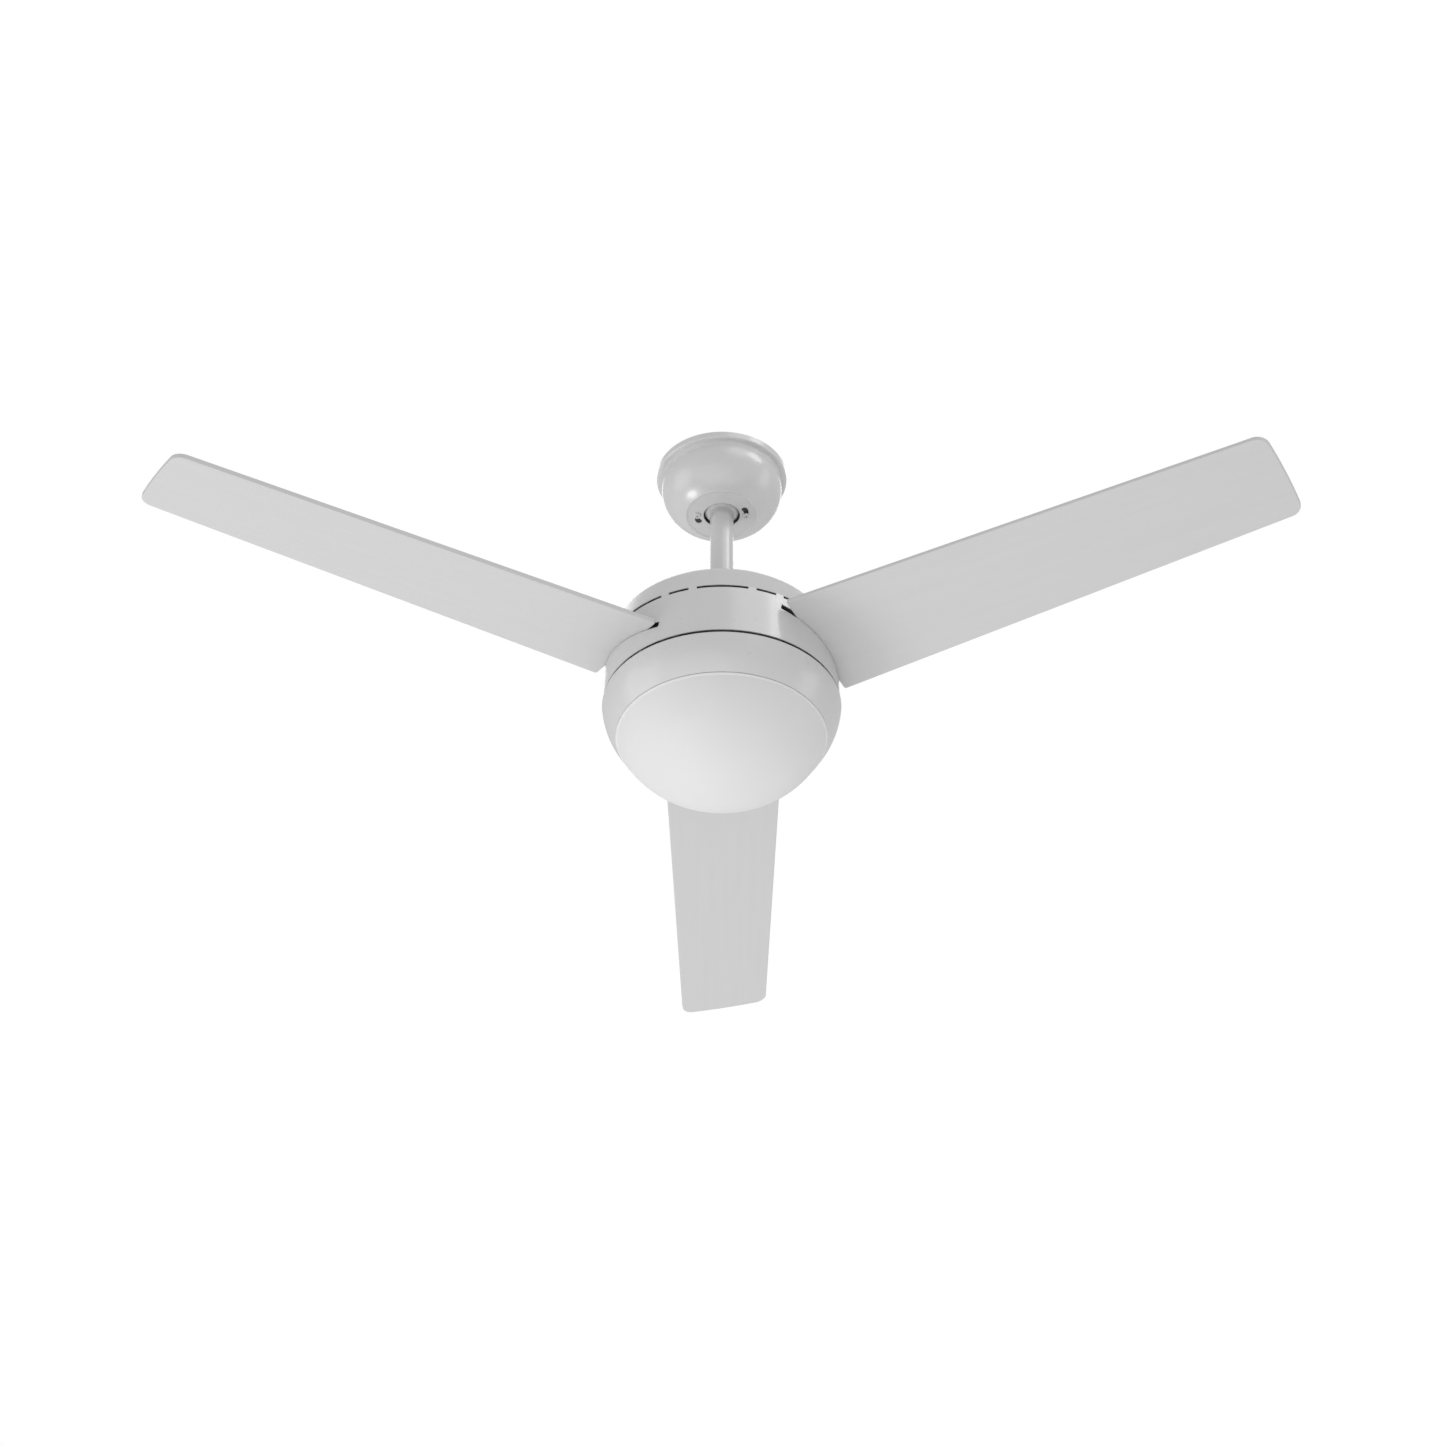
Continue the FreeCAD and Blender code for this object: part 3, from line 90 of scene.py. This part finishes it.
def add_world():
    """White behind the object, and an even light of its own strength on it."""
    world = bpy.data.worlds.new("studio")
    bpy.context.scene.world = world
    world.use_nodes = True
    tree = world.node_tree
    tree.nodes.clear()
    out = tree.nodes.new("ShaderNodeOutputWorld")
    mix = tree.nodes.new("ShaderNodeMixShader")
    path = tree.nodes.new("ShaderNodeLightPath")
    tree.links.new(path.outputs["Is Camera Ray"], mix.inputs[0])
    for strength, shader in ((WORLD_STRENGTH, mix.inputs[1]), (1.0, mix.inputs[2])):
        background = tree.nodes.new("ShaderNodeBackground")
        background.inputs["Color"].default_value = WHITE
        background.inputs["Strength"].default_value = strength
        tree.links.new(background.outputs[0], shader)
    tree.links.new(mix.outputs[0], out.inputs["Surface"])


def add_floor():
    corners = [(x * FLOOR_HALF, y * FLOOR_HALF, FLOOR_HEIGHT)
               for x, y in ((-1, -1), (1, -1), (1, 1), (-1, 1))]
    mesh = bpy.data.meshes.new("floor")
    mesh.from_pydata(corners, [], [(0, 1, 2, 3)])
    mesh.materials.append(floor_material())
    linked("floor", mesh)


# ---------------------------------------------------------------- materials

class Tree:
    """One material's node tree, with short calls for the nodes that the finishes share."""

    def __init__(self, name):
        self.material = bpy.data.materials.new(name)
        self.material.use_nodes = True
        self.nodes = self.material.node_tree.nodes
        self.links = self.material.node_tree.links
        self.shader = self.nodes["Principled BSDF"]
        self.where = self.nodes.new("ShaderNodeTexCoord").outputs["Object"]

    def link(self, output, target):
        self.links.new(output, target)

    def stretched(self, scale, turn=0.0):
        """The object's coordinates, turned about Z and then scaled apart along each axis."""
        turned = self.nodes.new("ShaderNodeMapping")
        turned.inputs["Rotation"].default_value = (0.0, 0.0, turn)
        self.link(self.where, turned.inputs["Vector"])
        scaled = self.nodes.new("ShaderNodeMapping")
        scaled.inputs["Scale"].default_value = scale
        self.link(turned.outputs["Vector"], scaled.inputs["Vector"])
        return scaled.outputs["Vector"]

    def noise(self, scale, detail=3.0, vector=None, rough=0.5):
        node = self.nodes.new("ShaderNodeTexNoise")
        node.inputs["Scale"].default_value = scale
        node.inputs["Detail"].default_value = detail
        node.inputs["Roughness"].default_value = rough
        self.link(vector or self.where, node.inputs["Vector"])
        return node.outputs["Fac"]

    def cells(self, scale, vector):
        node = self.nodes.new("ShaderNodeTexVoronoi")
        node.inputs["Scale"].default_value = scale
        self.link(vector, node.inputs["Vector"])
        return node.outputs["Color"]

    def lines(self, scale, direction, twist=0.0):
        node = self.nodes.new("ShaderNodeTexWave")
        node.wave_type = "BANDS"
        node.bands_direction = direction
        node.inputs["Scale"].default_value = scale
        node.inputs["Distortion"].default_value = twist
        self.link(self.where, node.inputs["Vector"])
        return node.outputs["Fac"]

    def ranged(self, value, low, high, start=0.3, end=0.7):
        """value, from start to end, spread over low to high."""
        node = self.nodes.new("ShaderNodeMapRange")
        node.inputs["From Min"].default_value = start
        node.inputs["From Max"].default_value = end
        node.inputs["To Min"].default_value = low
        node.inputs["To Max"].default_value = high
        self.link(value, node.inputs["Value"])
        return node.outputs["Result"]

    def bump(self, height, strength, distance, under=None):
        node = self.nodes.new("ShaderNodeBump")
        node.inputs["Strength"].default_value = strength
        node.inputs["Distance"].default_value = distance
        self.link(height, node.inputs["Height"])
        if under:
            self.link(under, node.inputs["Normal"])
        return node.outputs["Normal"]

    def colour(self, factor, first, second):
        """The base colour goes from the first colour to the second as factor goes from 0 to 1."""
        node = self.nodes.new("ShaderNodeMix")
        node.data_type = "RGBA"
        self.link(factor, node.inputs[0])
        node.inputs[6].default_value = (*first, 1.0)
        node.inputs[7].default_value = (*second, 1.0)
        self.link(node.outputs[2], self.shader.inputs["Base Color"])

    def mottled(self, pattern, first, second, start=0.3, end=0.7):
        """Base colours that follow the pattern, from start to end."""
        self.colour(self.ranged(pattern, 0.0, 1.0, start, end), first, second)

    def roughness(self, pattern, low, high, start=0.3, end=0.7):
        self.link(self.ranged(pattern, low, high, start, end), self.shader.inputs["Roughness"])

    def normal(self, output):
        self.link(output, self.shader.inputs["Normal"])

    def fixed(self, **values):
        """Constants on the shader's own sockets. An underscore in a name stands for a space."""
        for name, value in values.items():
            self.shader.inputs[name.replace("_", " ")].default_value = value


def grey(value):
    return (value, value, value)


def floor_material():
    """Pale matt floor of a lit studio cove, which sends light back up."""
    t = Tree("floor_paint")
    t.colour(t.noise(3.0), grey(0.90), grey(0.93))
    t.roughness(t.noise(20.0), 0.6, 0.75)
    t.normal(t.bump(t.noise(90.0), 0.1, 0.001))
    t.fixed(Emission_Color=WHITE, Emission_Strength=FLOOR_GLOW)
    return t.material


def white_paint():
    """Gloss powder coat on pressed steel: smooth, with the faint waviness of sprayed paint."""
    t = Tree("white_paint")
    t.mottled(t.noise(16.0, 4.0), grey(0.580), grey(0.600))
    t.roughness(t.noise(60.0, 4.0), 0.27, 0.34)
    wavy = t.bump(t.noise(210.0, 1.0), 0.10, 0.0005)
    t.normal(t.bump(t.noise(1500.0, 2.0), 0.06, 0.0001, wavy))
    t.fixed(Coat_Weight=1.0, Coat_Roughness=0.20, IOR=1.5)
    return t.material


def blade_white(direction):
    """Satin white foil on the blade's board, with a faint grain that runs along the blade."""
    t = Tree("blade_white")
    along = t.stretched((6.0, 140.0, 140.0), -radians(direction))
    grain = t.noise(1.0, 5.0, along, 0.6)
    t.mottled(grain, grey(0.545), grey(0.560))
    t.roughness(t.noise(2.0, 3.0, along), 0.50, 0.60)
    t.normal(t.bump(grain, 0.10, 0.0002, t.bump(t.noise(1400.0, 2.0), 0.05, 0.0001)))
    t.fixed(IOR=1.45)
    return t.material


def opal_glass():
    """Satin etched opal glass, milky right through."""
    t = Tree("opal_glass")
    t.mottled(t.noise(9.0), grey(0.665), grey(0.685))
    t.roughness(t.noise(40.0), 0.60, 0.68)
    t.normal(t.bump(t.noise(1800.0, 2.0), 0.05, 0.0001))
    t.fixed(IOR=1.52, Subsurface_Weight=0.25, Subsurface_Radius=grey(0.004), Subsurface_Scale=1.0)
    return t.material


def white_nylon():
    """Moulded nylon, a little translucent."""
    t = Tree("white_nylon")
    t.mottled(t.noise(60.0, 4.0), (0.56, 0.56, 0.555), (0.61, 0.61, 0.605))
    t.roughness(t.noise(200.0), 0.38, 0.48)
    t.normal(t.bump(t.noise(1600.0), 0.08, 0.0001))
    t.fixed(IOR=1.53, Subsurface_Weight=0.1, Subsurface_Radius=grey(0.002), Subsurface_Scale=1.0)
    return t.material


def moulded(name, dark, light, rough, ior=1.5):
    """Moulded plastic, rubber or ceramic between two colours, with the mould's fine texture."""
    t = Tree(name)
    t.mottled(t.noise(70.0, 4.0), dark, light)
    t.roughness(t.noise(300.0), rough - 0.05, rough + 0.07)
    t.normal(t.bump(t.noise(2200.0), 0.12, 0.0001))
    t.fixed(IOR=ior)
    return t.material


def painted_shade_black():
    """Painted shade: black on the hanging bracket inside the canopy, standing in for the dark
    inside seen through the canopy's keyholes; satin, a little uneven.
    """
    t = Tree("black_steel")
    t.mottled(t.noise(45.0, 5.0), grey(0.018), grey(0.034))
    t.roughness(t.noise(120.0, 4.0), 0.34, 0.50)
    t.normal(t.bump(t.noise(700.0), 0.15, 0.0001))
    t.fixed(IOR=1.5)
    return t.material


def metal(name, dark, light, rough, spread, pattern, strength=0.15):
    """Bare metal whose colour and roughness follow a pattern that a function draws."""
    t = Tree(name)
    drawn = pattern(t)
    t.mottled(drawn, dark, light, 0.2, 0.8)
    t.roughness(drawn, rough, rough + spread, 0.2, 0.8)
    t.normal(t.bump(t.noise(900.0, 4.0), strength, 0.0001))
    t.fixed(Metallic=1.0)
    return t.material


def spangle(t):
    """The crystals of a zinc coat."""
    return t.cells(160.0, t.stretched((1.0, 1.0, 0.6)))


def turned_rings(t):
    """The fine rings that turning leaves round a vertical axis."""
    return t.noise(1.0, 4.0, t.stretched((60.0, 60.0, 2600.0)))


def cast_skin(t):
    """The coarse skin that a casting takes from its mould."""
    return t.noise(240.0, 6.0, rough=0.65)


def lamination():
    """A pack of half-millimetre steel sheets, seen as lines round the pack."""
    t = Tree("lamination")
    sheets = t.lines(320.0, "Z")
    t.mottled(sheets, (0.10, 0.10, 0.11), (0.34, 0.34, 0.36), 0.1, 0.5)
    t.roughness(t.noise(300.0, 4.0), 0.38, 0.55)
    t.normal(t.bump(sheets, 0.6, 0.0002))
    t.fixed(Metallic=1.0)
    return t.material


def copper_wire():
    """Turns of enamelled wire, half a millimetre thick."""
    t = Tree("copper_wire")
    turns = t.lines(300.0, "DIAGONAL", 0.6)
    t.mottled(turns, (0.22, 0.07, 0.03), (0.78, 0.34, 0.16), 0.1, 0.7)
    t.roughness(t.noise(200.0), 0.22, 0.34)
    t.normal(t.bump(turns, 0.8, 0.0004))
    t.fixed(Metallic=1.0, Coat_Weight=0.6, Coat_Roughness=0.15)
    return t.material


METALS = (  # slot, dark colour, light colour, roughness, its spread, pattern, strength of the bump
    ("zinc_steel", (0.52, 0.53, 0.54), (0.70, 0.71, 0.72), 0.30, 0.14, spangle, 0.15),
    ("bright_steel", (0.55, 0.55, 0.54), (0.70, 0.70, 0.69), 0.20, 0.12, turned_rings, 0.15),
    ("race_steel", (0.50, 0.51, 0.52), (0.62, 0.63, 0.64), 0.10, 0.08, turned_rings, 0.05),
    ("cast_alloy", (0.42, 0.42, 0.43), (0.60, 0.60, 0.61), 0.42, 0.16, cast_skin, 0.35),
    ("black_iron", (0.05, 0.05, 0.05), (0.12, 0.12, 0.12), 0.45, 0.20, cast_skin, 0.30),
    ("lamp_cap", (0.60, 0.60, 0.60), (0.76, 0.76, 0.76), 0.24, 0.12, turned_rings, 0.15),
)
MOULDED = (  # slot, dark colour, light colour, roughness, IOR
    ("dark_plastic", (0.030, 0.030, 0.032), (0.050, 0.050, 0.054), 0.42, 1.5),
    ("white_ceramic", (0.74, 0.73, 0.70), (0.80, 0.79, 0.76), 0.30, 1.6),
    ("lamp_opal", (0.80, 0.80, 0.78), (0.85, 0.85, 0.83), 0.30, 1.5),
    ("black_rubber", (0.016, 0.016, 0.016), (0.030, 0.030, 0.030), 0.66, 1.5),
    ("cable_sheath", (0.55, 0.55, 0.54), (0.62, 0.62, 0.61), 0.45, 1.5),
)


def make_finishes():
    """One material for each slot of the record but the blades', whose grain needs a direction."""
    return {
        "white_paint": white_paint(),
        "opal_glass": opal_glass(),
        "white_nylon": white_nylon(),
        # painted shade: this black on the bracket darkens what shows through the canopy's keyholes
        "black_steel": painted_shade_black(),
        "lamination": lamination(),
        "copper_wire": copper_wire(),
        **{row[0]: metal(*row) for row in METALS},
        **{row[0]: moulded(*row) for row in MOULDED},
    }


def dress_nodes():
    """Gives each CAD node the finish that its slot names, and each blade its own."""
    finishes = make_finishes()
    blades = {f"blade_{i}": blade_white(direction)
              for i, direction in enumerate(BLADE_DIRECTIONS, 1)}
    for name, obj in nodes.items():
        finish = blades.get(name) or finishes[obj.material_slots[0].material.name]
        for slot in obj.material_slots:
            slot.material = finish


# ---------------------------------------------------------------- the scene

add_camera()
add_world()
add_floor()
for light in LIGHTS:
    soft_box(*light)
dress_nodes()
bpy.context.scene.view_settings.view_transform = "Standard"
